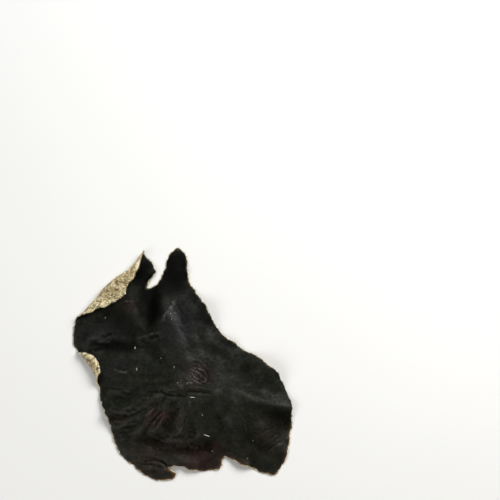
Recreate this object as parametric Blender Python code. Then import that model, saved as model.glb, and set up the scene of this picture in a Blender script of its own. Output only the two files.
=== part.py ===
# Dried wood ear mushroom, one leathery sheet lying felt side down.
# Lengths are in millimetres until the mesh is written. Plan positions are measured from the
# attachment dimple, with +X to the right, +Y away from the viewer and +Z up.

import math

import bmesh
import bpy
import numpy as np
from mathutils import Vector, noise
from mathutils.geometry import delaunay_2d_cdt

MM = 0.001

# thickness of the dried flesh
THICK_BODY = 1.25
THICK_RIM = 0.62
RIM_TAPER = 5.0

# mesh spacing, finer where the sheet rolls over and round the dimple
GRID_STEP = 1.9
FINE_STEP = 1.15
RIM_STEP = 1.25

# height of each kind of wrinkle, and of the torn margin's small teeth
PLEATS = 1.05
RINGS = 0.45
CRINKLE = 0.5
FRILL = 0.7
TEETH = 0.55
TOOTH_SPACING = 2.1

# a flap rises from the sheet's height this far past the roll's axis
FLAP_HOLD = 2.0

# felt lower than this lies flat on the table
TABLE_SNAP = 0.08

# the cut stub on the felt side, where the mushroom grew from its wood, and the dimple above it
STUB_HEIGHT = 2.1
STUB_RADIUS = 2.9
DIMPLE_DEPTH = 1.5
DIMPLE_RADIUS = 4.2

# the margin, clockwise from the torn notch at the top, in stretches between the rolled edges
NOTCH_AND_LOBE = [
    (-17.0, 44.0),
    (-17.8, 41.4),
    (-19.7, 38.9),
    (-20.2, 36.9),
    (-18.6, 37.2),
    (-16.6, 39.2),
    (-14.8, 40.6),
    (-13.8, 44.2),
    (-12.4, 48.6),
    (-10.8, 51.8),
    (-8.2, 53.2),
    (-5.9, 51.4),
    (-4.7, 47.6),
    (-4.6, 43.8),
]
RIGHT_MARGIN = [
    (-4.0, 40.6),
    (-2.4, 37.0),
    (-0.2, 33.8),
    (2.4, 30.0),
    (4.6, 25.8),
    (7.2, 21.0),
    (11.6, 16.4),
    (17.8, 12.2),
    (24.4, 7.8),
    (30.0, 2.6),
    (34.0, -3.6),
    (36.0, -9.8),
]
RIGHT_CORNER = [
    (36.4, -15.4),
    (35.8, -20.4),
    (34.9, -25.8),
    (33.9, -30.6),
    (32.0, -33.6),
    (29.6, -36.2),
    (27.2, -36.0),
    (23.6, -34.8),
    (20.0, -33.4),
    (16.5, -32.0),
    (13.1, -30.3),
]
TORN_STEP = [
    (10.4, -28.9),
    (9.9, -29.6),
    (9.6, -32.0),
    (9.1, -33.6),
    (6.0, -34.3),
    (2.4, -34.8),
    (-1.4, -34.5),
    (-4.4, -33.8),
    (-7.8, -33.4),
    (-10.6, -32.9),
    (-10.5, -33.7),
    (-9.0, -34.8),
    (-7.6, -35.8),
    (-8.8, -37.2),
]
LEFT_BOTTOM = [
    (-12.4, -38.0),
    (-16.8, -37.5),
    (-20.0, -36.2),
    (-22.6, -34.3),
    (-25.6, -31.8),
    (-28.6, -28.9),
    (-30.5, -26.3),
    (-31.6, -23.4),
    (-32.7, -20.2),
    (-33.2, -17.6),
    (-34.4, -14.9),
    (-35.8, -12.4),
    (-36.3, -10.4),
    (-37.1, -8.0),
    (-37.8, -5.4),
    (-38.1, -2.8),
]
LEFT_LOBE = [
    (-46.9, 11.6),
    (-48.4, 14.0),
    (-49.1, 17.4),
    (-48.9, 21.0),
]

# A rolled edge turns up and over along its axis, so that the felt shows from above.
# mid, heading and bulge lay out the axis, and each bend of it is (place along it, length, outward).
# shown lists (place along the axis, width of felt seen).
UPPER_ROLL = {
    "mid": (-31.6, 36.9),
    "heading": 47.0,
    "bulge": 0.6,
    "bends": [(6.5, 6.5, -1.9), (-11.0, 5.0, -0.5)],
    "half_span": 16.5,
    "turn": 186.0,
    "wind": 6.9,
    "shown": [
        (17.2, 0.2),
        (15.6, 0.5),
        (13.4, 1.7),
        (11.0, 2.7),
        (8.8, 2.9),
        (7.2, 3.3),
        (6.0, 4.2),
        (3.4, 4.9),
        (1.0, 5.8),
        (-1.6, 7.0),
        (-4.0, 6.9),
        (-6.4, 5.7),
        (-8.6, 5.0),
        (-10.4, 3.5),
        (-12.4, 2.8),
        (-14.6, 2.2),
        (-16.6, 1.4),
    ],
    "fade": (-23.0, -16.0, 14.5, 22.5),
}
LEFT_ROLL = {
    "mid": (-40.0, 2.2),
    "heading": 116.0,
    "bulge": -2.3,
    "bends": [],
    "half_span": 10.5,
    "turn": 184.0,
    "wind": 4.4,
    "shown": [
        (9.4, 1.6),
        (7.2, 2.4),
        (4.8, 2.9),
        (2.4, 2.7),
        (0.4, 2.2),
        (-1.2, 1.2),
        (-2.5, 0.3),
    ],
    "fade": (-5.6, -1.2, 8.5, 13.0),
}

# broad swells of the dried sheet: (x, y, half width, half depth, turn in degrees, rise)
REST_LEVEL = -0.6
MARGIN_WAVE = 4.5
SWELLS = {
    "body": (1.0, -8.0, 24.0, 16.0, 0.0, 7.4),
    "neck": (-9.0, 20.0, 13.0, 17.0, 10.0, 5.4),
    "right hill": (24.0, -15.0, 13.0, 13.0, -20.0, 3.8),
    "left shoulder": (-29.0, 24.0, 8.0, 7.0, 45.0, 2.6),
    "left lobe": (-41.0, 18.5, 8.0, 4.6, 10.0, 2.8),
    "lower left": (-23.0, -15.0, 13.0, 9.0, 60.0, 2.6),
    "upper right edge": (6.0, 28.0, 6.0, 9.0, -30.0, 2.0),
    "far right edge": (27.0, 5.0, 10.0, 7.0, -40.0, 2.4),
    "end of the roll": (-19.6, 43.0, 3.6, 5.0, -20.0, 2.0),
    "left edge": (-38.0, 0.0, 6.0, 9.0, 20.0, 1.6),
    "lower tongue": (-2.0, -31.5, 8.0, 3.0, -2.0, 1.0),
}

# creases as (x, y, x, y, half width, rise), a negative rise for a groove
CREASES = {
    "fold below the left lobe": [
        (-47.0, 10.6, -37.0, 12.8, 2.2, -2.6),
        (-39.0, 12.9, -27.0, 12.4, 2.4, -2.2),
        (-43.0, 15.4, -33.0, 17.0, 1.8, 1.2),
    ],
    "valley below the notch": [
        (-18.6, 36.0, -20.4, 27.0, 2.8, -2.4),
        (-20.2, 29.0, -18.4, 18.6, 3.0, -2.2),
        (-21.8, 15.2, -17.4, 17.2, 1.4, 1.0),
        (-18.2, 16.9, -13.2, 19.2, 1.3, 1.0),
        (-23.0, 12.6, -12.0, 15.8, 2.0, -1.0),
    ],
    "ribs of the neck": [
        (-13.6, 38.0, -12.2, 22.0, 3.0, 0.5),
        (-8.4, 42.0, -7.2, 27.0, 2.6, -0.3),
        (-4.0, 36.0, -1.6, 12.0, 3.0, 0.4),
        (-6.0, 9.0, 2.0, 15.0, 2.4, -0.4),
    ],
    "folds below the dimple": [
        (-17.4, -5.4, -7.0, -6.9, 1.3, -1.0),
        (-8.0, -6.9, 4.6, -5.6, 1.3, -1.1),
        (-14.6, -3.0, -5.0, -4.4, 1.2, 0.8),
    ],
    "fan of pleats": [
        (-19.5, -20.0, -12.4, -10.4, 1.5, -1.3),
        (-15.6, -20.6, -10.0, -10.8, 1.3, 1.1),
        (-11.4, -21.4, -7.4, -10.4, 1.4, -1.3),
        (-7.0, -21.4, -4.8, -9.8, 1.4, 0.5),
        (-2.8, -21.6, -1.6, -9.6, 1.5, -0.5),
        (4.2, -19.6, 2.6, -9.6, 1.7, -0.5),
    ],
    "ledge at the end of the fan": [
        (-18.0, -19.2, -11.0, -22.4, 2.2, 1.0),
        (-12.0, -22.2, -1.0, -23.0, 2.2, 1.2),
        (-2.0, -23.0, 6.4, -20.8, 2.2, 1.1),
        (-21.0, -22.8, -12.6, -26.8, 2.4, -1.0),
        (-14.0, -26.8, -1.0, -27.8, 2.4, -1.0),
        (-2.0, -27.6, 6.6, -25.2, 2.2, -1.1),
        (2.6, -26.8, 6.2, -29.2, 1.8, -1.2),
    ],
    "wrinkles of the lower left": [
        (-34.0, -16.2, -26.4, -13.6, 1.6, -1.3),
        (-28.0, -14.0, -19.0, -10.0, 1.5, -1.2),
        (-32.0, -12.8, -20.0, -7.6, 1.5, 0.8),
        (-35.5, -8.8, -24.0, -5.0, 1.6, -1.1),
        (-31.0, -22.8, -21.0, -15.6, 1.6, -1.1),
        (-27.6, -25.6, -18.4, -17.0, 1.6, 0.8),
        (-22.4, -31.0, -13.0, -32.6, 1.5, -1.0),
        (-22.0, -34.0, -13.5, -35.3, 1.4, 0.7),
    ],
    "folds of the right half": [
        (9.6, -13.0, 8.2, -27.0, 2.4, -1.1),
        (14.6, -11.0, 16.4, -27.0, 2.6, 0.9),
        (14.0, 3.4, 31.0, -3.0, 2.8, -0.6),
        (11.0, -3.4, 22.0, -8.4, 2.6, 0.9),
        (21.0, -8.2, 34.0, -11.6, 2.6, 0.8),
        (16.0, -21.6, 31.0, -28.0, 2.4, -1.1),
        (20.0, -18.0, 33.0, -21.4, 2.2, 0.7),
    ],
}

# where the sheet comes down to the table: (x, y, radius)
TOUCHES = [
    (-30.5, -25.5, 6.0),
    (34.5, -20.5, 6.5),
    (-8.2, 49.0, 5.5),
    (-46.6, 17.4, 3.6),
    (-14.0, -36.0, 3.6),
    (25.0, -32.8, 4.0),
]


def smoothstep(low, high, value):
    t = np.clip((value - low) / (high - low), 0.0, 1.0)
    return t * t * (3.0 - 2.0 * t)


def smooth_positive(value, softness=0.7):
    # 0 below -softness and value above it, with a parabola between
    middle = (value + softness) ** 2 / (4.0 * softness)
    return np.where(value > softness, value, np.where(value < -softness, 0.0, middle))


def noise_at(x, y, z):
    return np.array([noise.noise(Vector(p)) for p in zip(x, y, z)])


def closed_curve(points, step):
    # a smooth closed curve through the points, resampled at an even step
    pts = np.asarray(points, float)
    count = len(pts)
    dense = []
    for i in range(count):
        a, b, c, d = (pts[(i + k) % count] for k in (-1, 0, 1, 2))
        for t in np.linspace(0.0, 1.0, 12, endpoint=False):
            dense.append(
                0.5
                * (
                    2 * b
                    + (c - a) * t
                    + (2 * a - 5 * b + 4 * c - d) * t * t
                    + (3 * b - a - 3 * c + d) * t**3
                )
            )
    dense = np.array(dense)
    lengths = np.linalg.norm(np.roll(dense, -1, 0) - dense, axis=1)
    along = np.concatenate([[0.0], np.cumsum(lengths)])
    places = np.linspace(0.0, along[-1], round(along[-1] / step), endpoint=False)
    ring = np.vstack([dense, dense[:1]])
    return np.column_stack([np.interp(places, along, ring[:, k]) for k in (0, 1)])


def axis_bow(roll, along):
    # how far the axis lies outward of its straight line
    bow = roll["bulge"] * (1.0 - (along / roll["half_span"]) ** 2)
    for place, length, outward in roll["bends"]:
        bow = bow + outward * np.exp(-(((along - place) / length) ** 2))
    return bow


def roll_frame(roll, x, y):
    # place along the roll's axis, and distance outward beyond the axis
    heading = math.radians(roll["heading"])
    dx = x - roll["mid"][0]
    dy = y - roll["mid"][1]
    along = dx * math.cos(heading) + dy * math.sin(heading)
    outward = -dx * math.sin(heading) + dy * math.cos(heading)
    return along, outward - axis_bow(roll, along)


def roll_turn(roll, along):
    start, full, ease, end = roll["fade"]
    window = smoothstep(start, full, along) * (1.0 - smoothstep(ease, end, along))
    return math.radians(roll["turn"]) * window


def roll_profile(roll, beyond, turn):
    # how far out and how high the sheet has gone after the length beyond the axis
    steps = 28
    out = np.zeros_like(beyond)
    up = np.zeros_like(beyond)
    for k in range(steps):
        place = beyond * (k + 0.5) / steps
        angle = turn * smoothstep(0.0, roll["wind"], place)
        out += np.cos(angle) * beyond / steps
        up += np.sin(angle) * beyond / steps
    return out, up


def flap_margin(roll):
    # flat outline of a rolled edge: each point lies as far beyond the axis as it takes
    # for the roll to show the stated width of felt from above
    heading = math.radians(roll["heading"])
    lengths = np.linspace(0.0, 18.0, 240)
    margin = []
    for along, shown in roll["shown"]:
        turn = roll_turn(roll, np.full_like(lengths, along))
        out, _ = roll_profile(roll, lengths, turn)
        crest = int(np.argmax(out))
        width = np.maximum.accumulate(out[crest] - out[crest:])
        beyond = float(np.interp(shown, width, lengths[crest:]))
        outward = beyond + axis_bow(roll, along)
        margin.append(
            (
                roll["mid"][0] + along * math.cos(heading) - outward * math.sin(heading),
                roll["mid"][1] + along * math.sin(heading) + outward * math.cos(heading),
            )
        )
    return margin


def flat_margin():
    # whole outline of the sheet before its edges roll, clockwise from the torn notch
    left_roll = flap_margin(LEFT_ROLL)
    points = (
        NOTCH_AND_LOBE
        + RIGHT_MARGIN
        + RIGHT_CORNER
        + TORN_STEP
        + LEFT_BOTTOM
        + left_roll[::-1]
        + LEFT_LOBE
        + flap_margin(UPPER_ROLL)[::-1]
    )
    outline = closed_curve(points, RIM_STEP)
    ahead = np.roll(outline, -1, 0) - np.roll(outline, 1, 0)
    normal = np.column_stack([-ahead[:, 1], ahead[:, 0]])
    normal /= np.linalg.norm(normal, axis=1)[:, None]
    place = outline / TOOTH_SPACING
    teeth = TEETH * noise_at(place[:, 0], place[:, 1], np.full(len(outline), 4.5))
    return outline + normal * teeth[:, None]


class Margin:
    # distance from plan points to the margin, and whether they lie inside it
    def __init__(self, outline):
        self.start = outline
        self.edge = np.roll(outline, -1, 0) - outline
        self.length2 = (self.edge**2).sum(1)

    def distance(self, x, y):
        p = np.column_stack([x, y])[:, None, :] - self.start[None]
        t = np.clip((p * self.edge[None]).sum(2) / self.length2, 0.0, 1.0)
        gap = p - t[:, :, None] * self.edge[None]
        return np.sqrt((gap**2).sum(2).min(1))

    def inside(self, x, y):
        x0, y0 = self.start[:, 0], self.start[:, 1]
        x1, y1 = x0 + self.edge[:, 0], y0 + self.edge[:, 1]
        px, py = x[:, None], y[:, None]
        spans = (y0 > py) != (y1 > py)
        run = np.where(y1 == y0, 1.0, y1 - y0)
        crossing = px < (x1 - x0) * (py - y0) / run + x0
        return (spans & crossing).sum(1) % 2 == 1


def hex_grid(step, low, high):
    points = []
    rows = int((high[1] - low[1]) / (step * 0.866)) + 1
    columns = int((high[0] - low[0]) / step) + 1
    for j in range(rows):
        for i in range(columns):
            x = low[0] + (i + 0.5 * (j % 2)) * step
            points.append((x, low[1] + j * step * 0.866))
    return np.array(points)


def fine_zone(x, y):
    # where the sheet bends tightly: both rolled edges and the dimple
    near_dimple = np.hypot(x, y) < 6.5
    near_roll = np.zeros(len(x), bool)
    for roll in (UPPER_ROLL, LEFT_ROLL):
        along, beyond = roll_frame(roll, x, y)
        reach = roll["half_span"] + 3.0
        near_roll |= (beyond > -1.0) & (np.abs(along) < reach)
    return near_dimple | near_roll


def sheet_points(margin):
    low, high = margin.start.min(0), margin.start.max(0)
    kept = []
    for step, fine in ((GRID_STEP, False), (FINE_STEP, True)):
        grid = hex_grid(step, low, high)
        x, y = grid[:, 0], grid[:, 1]
        wanted = margin.inside(x, y) & (fine_zone(x, y) == fine)
        wanted &= margin.distance(x, y) > 0.62 * step
        grid = grid[wanted]
        if kept:
            gap = np.linalg.norm(grid[:, None] - kept[0][None], axis=2).min(1)
            grid = grid[gap > 0.6 * GRID_STEP]
        kept.append(grid)
    return np.vstack(kept)


def thickness(distance):
    return THICK_RIM + (THICK_BODY - THICK_RIM) * smoothstep(0.0, RIM_TAPER, distance)


def swell(x, y, distance):
    # height of the flesh's middle over its resting height, without the rolled edges
    rise = np.full(len(x), REST_LEVEL)
    for cx, cy, wide, deep, turn, height in SWELLS.values():
        c, s = math.cos(math.radians(turn)), math.sin(math.radians(turn))
        u = ((x - cx) * c + (y - cy) * s) / wide
        v = (-(x - cx) * s + (y - cy) * c) / deep
        rise += height * np.exp(-(u * u + v * v))
    for x0, y0, x1, y1, width, height in sum(CREASES.values(), []):
        ex, ey = x1 - x0, y1 - y0
        t = np.clip(((x - x0) * ex + (y - y0) * ey) / (ex * ex + ey * ey), 0.0, 1.0)
        gap = np.hypot(x - x0 - t * ex, y - y0 - t * ey)
        ends = 0.3 + 0.7 * np.sin(math.pi * t)
        rise += height * ends * np.exp(-((gap / width) ** 2))
    wave = noise_at(x / 11.0, y / 11.0, np.full(len(x), 6.2))
    rise += MARGIN_WAVE * wave * np.exp(-distance / 9.0)
    for tx, ty, radius in TOUCHES:
        near = np.exp(-(((x - tx) ** 2 + (y - ty) ** 2) / radius**2))
        rise = rise * (1.0 - near) - near
    return rise


def wrinkles(x, y, distance):
    # pleats that radiate from the dimple, rings round it, and a crinkled margin
    r, a = np.hypot(x, y), np.arctan2(y, x)
    lower_left = 0.45 + 0.55 * np.cos(0.5 * (a - math.radians(222.0))) ** 2
    pleat = noise_at(5.5 * np.cos(a), 5.5 * np.sin(a), r / 20.0)
    ring = noise_at(1.6 * np.cos(a), 1.6 * np.sin(a), r / 3.2)
    crinkle = noise_at(x / 5.5, y / 5.5, np.full(len(x), 1.7))
    frill = noise_at(x / 4.0, y / 4.0, np.full(len(x), 9.3))
    ringed = smoothstep(2.0, 6.0, r) * (1.0 - smoothstep(14.0, 26.0, r))
    return (
        PLEATS * lower_left * smoothstep(4.0, 16.0, r) * pleat
        + RINGS * lower_left * ringed * ring
        + CRINKLE * crinkle
        + FRILL * frill * np.exp(-distance / 3.5)
    )


def middle_surface(margin, x, y):
    # the middle of the flesh in 3-D, with the edges rolled over
    mid_x, mid_y, flap_z = x, y, np.zeros(len(x))
    base_x, base_y = x, y
    for roll in (UPPER_ROLL, LEFT_ROLL):
        heading = math.radians(roll["heading"])
        along, beyond = roll_frame(roll, x, y)
        in_reach = np.abs(along) < roll["half_span"] + 8.0
        beyond = np.where(in_reach, np.maximum(beyond, 0.0), 0.0)
        turn = roll_turn(roll, along)
        out, up = roll_profile(roll, beyond, turn)
        held = FLAP_HOLD * (1.0 - np.exp(-beyond / FLAP_HOLD)) - beyond
        held *= smoothstep(0.0, 1.0, turn)
        mid_x = mid_x - math.sin(heading) * (out - beyond)
        mid_y = mid_y + math.cos(heading) * (out - beyond)
        flap_z = flap_z + up
        base_x = base_x - math.sin(heading) * held
        base_y = base_y + math.cos(heading) * held
    distance = margin.distance(base_x, base_y)
    base_z = 0.5 * thickness(distance) + smooth_positive(swell(base_x, base_y, distance))
    return np.column_stack([mid_x, mid_y, base_z + flap_z])


def both_faces(margin, x, y):
    # upper and felt faces of the flesh at plan points of the flat sheet
    nudge = 0.05
    mid = middle_surface(margin, x, y)
    along_x = middle_surface(margin, x + nudge, y) - middle_surface(margin, x - nudge, y)
    along_y = middle_surface(margin, x, y + nudge) - middle_surface(margin, x, y - nudge)
    normal = np.cross(along_x, along_y)
    normal /= np.linalg.norm(normal, axis=1)[:, None]
    distance = margin.distance(x, y)
    half = 0.5 * thickness(distance)
    lifted = smoothstep(0.0, 1.6, mid[:, 2] - half)
    relief = wrinkles(x, y, distance)
    r = np.hypot(x, y)
    dimple = DIMPLE_DEPTH * np.exp(-((r / DIMPLE_RADIUS) ** 2))
    stub = STUB_HEIGHT * np.exp(-((r / STUB_RADIUS) ** 4))
    upper = mid + normal * (relief * (0.4 + 0.6 * lifted) + half - dimple)[:, None]
    felt = mid + normal * (relief * lifted - half - stub)[:, None]
    felt[:, 2] = np.where(felt[:, 2] < TABLE_SNAP, 0.0, felt[:, 2])
    upper[:, 2] = np.maximum(upper[:, 2], 0.45 * THICK_RIM)
    return upper, felt


def ear_solid():
    outline = flat_margin()
    margin = Margin(outline)
    inner = sheet_points(margin)
    rim_count = len(outline)
    plan = [Vector(p) for p in np.vstack([outline, inner])]
    rim_edges = [(i, (i + 1) % rim_count) for i in range(rim_count)]
    plan, _, triangles, *_ = delaunay_2d_cdt(plan, rim_edges, [], 1, 1e-5)
    flat = np.array([tuple(p) for p in plan])
    upper, felt = both_faces(margin, flat[:, 0], flat[:, 1])
    mesh = bmesh.new()
    top = [mesh.verts.new(p * MM) for p in upper]
    under = [mesh.verts.new(p * MM) for p in felt]
    for a, b, c in triangles:
        mesh.faces.new((top[a], top[b], top[c]))
        mesh.faces.new((under[c], under[b], under[a]))
    open_edges = [e for e in mesh.edges if len(e.link_faces) == 1]
    bmesh.ops.bridge_loops(mesh, edges=open_edges)
    bmesh.ops.triangulate(mesh, faces=mesh.faces)
    bmesh.ops.recalc_face_normals(mesh, faces=mesh.faces)
    return mesh


def dark_leather():
    material = bpy.data.materials.new("dried flesh")
    material.use_nodes = True
    shader = material.node_tree.nodes["Principled BSDF"]
    shader.inputs["Base Color"].default_value = (0.018, 0.017, 0.014, 1.0)
    shader.inputs["Roughness"].default_value = 0.45
    shader.inputs["Metallic"].default_value = 0.0
    return material


def build():
    for old in list(bpy.data.objects):
        bpy.data.objects.remove(old)
    solid = ear_solid()
    data = bpy.data.meshes.new("wood_ear")
    solid.to_mesh(data)
    solid.free()
    data.shade_smooth()
    data.materials.append(dark_leather())
    ear = bpy.data.objects.new("wood_ear", data)
    bpy.context.scene.collection.objects.link(ear)
    low = np.array([v.co for v in data.vertices]).min(0)
    high = np.array([v.co for v in data.vertices]).max(0)
    ear.location = (-0.5 * (low[0] + high[0]), -0.5 * (low[1] + high[1]), -low[2])


build()
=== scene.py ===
import heapq
import math
import bmesh
import bpy
import numpy as np
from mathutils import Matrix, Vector, noise
from mathutils.bvhtree import BVHTree


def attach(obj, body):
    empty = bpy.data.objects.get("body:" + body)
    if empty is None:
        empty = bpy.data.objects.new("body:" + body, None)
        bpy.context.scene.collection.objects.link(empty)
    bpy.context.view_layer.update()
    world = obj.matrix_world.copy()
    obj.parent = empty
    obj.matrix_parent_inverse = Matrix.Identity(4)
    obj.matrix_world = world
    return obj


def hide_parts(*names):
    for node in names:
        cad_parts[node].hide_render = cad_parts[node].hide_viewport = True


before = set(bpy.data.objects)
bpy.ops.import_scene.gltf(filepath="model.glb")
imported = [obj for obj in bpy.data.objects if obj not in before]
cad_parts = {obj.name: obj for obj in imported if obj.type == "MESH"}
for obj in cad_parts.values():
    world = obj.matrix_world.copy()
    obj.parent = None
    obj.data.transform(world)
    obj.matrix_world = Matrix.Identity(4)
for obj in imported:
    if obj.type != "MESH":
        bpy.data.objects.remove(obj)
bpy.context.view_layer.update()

# A dried wood ear mushroom on a pale table. Lengths in the settings are millimetres.
# Places on the mushroom are measured from its dimple, x to the right and y away from the viewer.

mm = 0.001
scene = bpy.context.scene
scene.view_settings.view_transform = "Standard"
bpy.ops.object.select_all(action="DESELECT")
dimple = np.array([6.15, -7.59, 0.0])

# camera

cameraView = {
    "aim": (26.48, 44.85, 0.0),  # where the middle of the picture falls on the table
    "elevation": 75.0,
    "distance": 472.2,
    "lens": 85.0,
}


def setCamera(view):
    tilt = math.radians(view["elevation"])
    away = Vector((0.0, -math.cos(tilt), math.sin(tilt)))
    data = bpy.data.cameras.new("camera")
    data.lens = view["lens"]
    data.sensor_width = 36.0
    data.clip_start = 0.01
    camera = bpy.data.objects.new("camera", data)
    camera.location = (Vector(view["aim"]) + away * view["distance"]) * mm
    camera.rotation_euler = (-away).to_track_quat("-Z", "Y").to_euler()
    scene.collection.objects.link(camera)
    scene.camera = camera


# shader nodes

class Wire:
    # a socket of a material, whose sums become Math nodes
    def __init__(self, finish, socket):
        self.finish = finish
        self.socket = socket

    def maths(self, operation, first, second):
        return self.finish.node("Math", {"operation": operation}, {0: first, 1: second})

    def __add__(self, other):
        return self.maths("ADD", self, other)

    def __sub__(self, other):
        return self.maths("SUBTRACT", self, other)

    def __rsub__(self, other):
        return self.maths("SUBTRACT", other, self)

    def __mul__(self, other):
        return self.maths("MULTIPLY", self, other)

    __radd__ = __add__
    __rmul__ = __mul__


class Finish:
    # a material with its Principled shader, and one method for any other node
    def __init__(self, name, **constants):
        self.material = bpy.data.materials.new(name)
        self.material.use_nodes = True
        self.tree = self.material.node_tree
        self.shader = self.tree.nodes["Principled BSDF"]
        for socket, value in constants.items():
            self.shader.inputs[socket.replace("_", " ")].default_value = value

    def node(self, kind, settings=None, inputs=None, out=0):
        made = self.tree.nodes.new("ShaderNode" + kind)
        for key, value in (settings or {}).items():
            if key == "stops":
                self.setRamp(made.color_ramp, value)
            else:
                setattr(made, key, value)
        for key, value in (inputs or {}).items():
            self.feed(made.inputs[key], value)
        return Wire(self, made.outputs[out])

    def setRamp(self, ramp, stops):
        while len(ramp.elements) < len(stops):
            ramp.elements.new(0.5)
        for element, (place, colour) in zip(ramp.elements, stops):
            element.position = place
            element.color = (*colour, 1.0)

    def feed(self, socket, value):
        if isinstance(value, Wire):
            self.tree.links.new(value.socket, socket)
        elif isinstance(value, tuple) and len(value) == 3 and socket.type == "RGBA":
            socket.default_value = (*value, 1.0)
        else:
            socket.default_value = value

    def set(self, **links):
        for socket, value in links.items():
            self.feed(self.shader.inputs[socket.replace("_", " ")], value)

    def place(self):
        return self.node("TexCoord", out="Object")

    def attribute(self, name):
        return self.node("Attribute", {"attribute_name": name}, out="Fac")

    def grain(self, size, detail=3.0, rough=0.55, swirl=0.0, kind="FBM"):
        # noise from 0 to 1 whose lumps are about size millimetres
        inputs = {"Vector": self.place(), "Scale": 1.0 / (size * mm), "Detail": detail}
        inputs.update({"Roughness": rough, "Distortion": swirl})
        return self.node("TexNoise", {"noise_type": kind}, inputs)

    def between(self, value, low, high):
        # 0 below low and 1 above high
        inputs = {"Value": value, "From Min": low, "From Max": high}
        return self.node("MapRange", {"interpolation_type": "SMOOTHSTEP"}, inputs)

    def mix(self, share, first, second, blend="MIX"):
        settings = {"data_type": "RGBA", "blend_type": blend}
        return self.node("Mix", settings, {0: share, 6: first, 7: second}, out=2)

    def bump(self, height, depth, strength=1.0):
        inputs = {"Height": height, "Distance": depth * mm, "Strength": strength}
        return self.node("Bump", inputs=inputs)


# numbers on the surface

def smoothStep(low, high, value):
    t = np.clip((value - low) / (high - low), 0.0, 1.0)
    return t * t * (3.0 - 2.0 * t)


def noiseAt(points, size, seed=0.0):
    scaled = points / size
    scaled[:, 2] += seed
    return np.array([noise.noise(Vector(p)) for p in scaled])


def pointsOf(piece):
    points = np.empty(len(piece.data.vertices) * 3, np.float32)
    piece.data.vertices.foreach_get("co", points)
    return points.reshape(-1, 3).astype(float) / mm


def normalsOf(piece):
    normals = np.empty(len(piece.data.vertices) * 3, np.float32)
    piece.data.vertex_normals.foreach_get("vector", normals)
    return normals.reshape(-1, 3).astype(float)


def movePoints(piece, points):
    piece.data.vertices.foreach_set("co", (points * mm).astype(np.float32).ravel())
    piece.data.update()


def edgesOf(piece):
    edges = np.empty(len(piece.data.edges) * 2, np.int32)
    piece.data.edges.foreach_get("vertices", edges)
    return edges.reshape(-1, 2)


def readAttribute(piece, name):
    values = np.empty(len(piece.data.vertices), np.float32)
    piece.data.attributes[name].data.foreach_get("value", values)
    return values.astype(float)


def writeAttribute(piece, name, values):
    attributes = piece.data.attributes
    layer = attributes.get(name) or attributes.new(name, "FLOAT", "POINT")
    layer.data.foreach_set("value", np.asarray(values, np.float32))


def spread(values, edges, rounds):
    # each value becomes the mean of itself and its neighbours, again and again
    count = np.bincount(edges.ravel(), minlength=len(values)) + 1.0
    for _ in range(rounds):
        total = values.copy()
        np.add.at(total, edges[:, 0], values[edges[:, 1]])
        np.add.at(total, edges[:, 1], values[edges[:, 0]])
        values = total / count
    return values


# the sheet: upper face, felt face and rim

sheet = {
    "mergeGap": 1e-6,
    "flesh": 2.0,  # a face with the other side of the flesh this close behind it is no rim
    "facing": -0.7,
    "bend": 60.0,
    "levels": 2,
}


def copySheet(settings):
    # a merged copy of the solid, to be dressed
    piece = bpy.data.objects.new("ear_sheet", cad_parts["wood_ear"].data.copy())
    scene.collection.objects.link(piece)
    piece.data.materials.clear()
    piece.select_set(True)
    bpy.context.view_layer.objects.active = piece
    bpy.ops.mesh.customdata_custom_splitnormals_clear()
    bpy.ops.object.mode_set(mode="EDIT")
    bpy.ops.mesh.select_all(action="SELECT")
    bpy.ops.mesh.remove_doubles(threshold=settings["mergeGap"])
    bpy.ops.mesh.faces_shade_smooth()
    bpy.ops.object.mode_set(mode="OBJECT")
    return piece


def floodSide(flesh, start, broad, bend):
    # the broad faces that can be reached without crossing a sharp edge
    reached = {start.index}
    waiting = [start]
    while waiting:
        face = waiting.pop()
        for edge in face.edges:
            if edge.calc_face_angle(math.pi) > math.radians(bend):
                continue
            for other in edge.link_faces:
                if other.index not in reached and broad[other.index]:
                    reached.add(other.index)
                    waiting.append(other)
    return {v.index for i in reached for v in flesh.faces[i].verts}


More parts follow.
